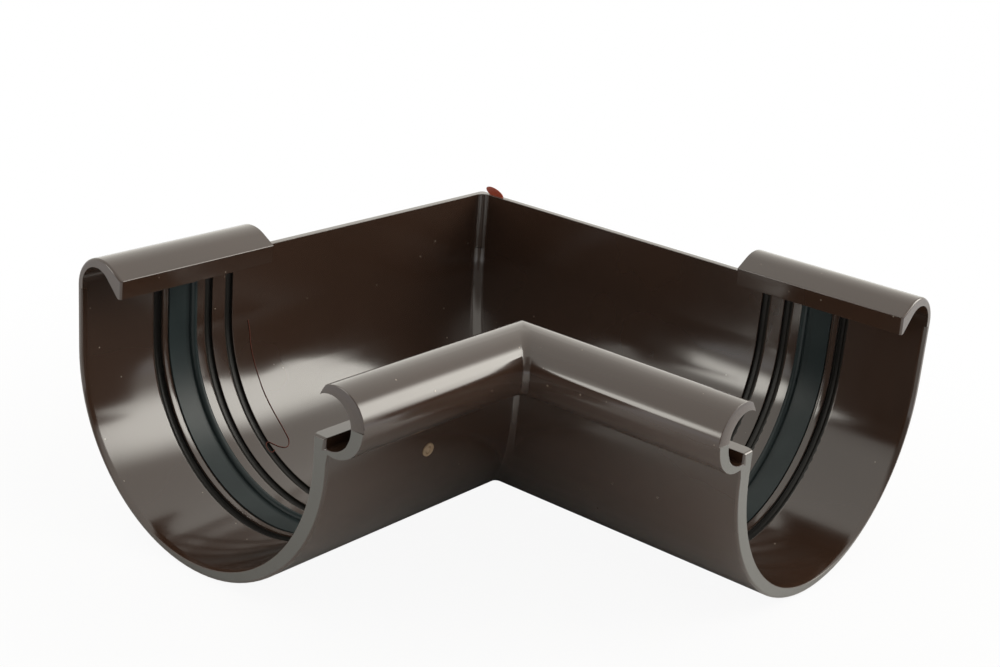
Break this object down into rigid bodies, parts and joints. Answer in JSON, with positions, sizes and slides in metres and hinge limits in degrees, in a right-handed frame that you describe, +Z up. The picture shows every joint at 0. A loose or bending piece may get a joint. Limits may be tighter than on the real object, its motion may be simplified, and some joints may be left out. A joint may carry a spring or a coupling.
{
  "type": "internal gutter angle",
  "caption": "Right-angle corner for a half-round gutter, with a curled front bead, a hooked clip at each end of its back walls and a rubber seal in each socket.",
  "frame": {"origin": "middle of the box round the part in plan, at the height of the lowest point of its round floors", "axes": "+X along one arm towards its open end, +Y along the other arm towards its open end, +Z up. The back walls face -X and -Y, and the curled bead is on the inside of the bend."},
  "size_m": [0.1888, 0.1888, 0.0862],
  "materials": {
    "body": "glossy dark brown, moulded",
    "seal": "satin slate black"
  },
  "bodies": {
    "root": {"angle_body": "body", "seal_left": "seal", "seal_right": "seal"}
  },
  "joints": []
}
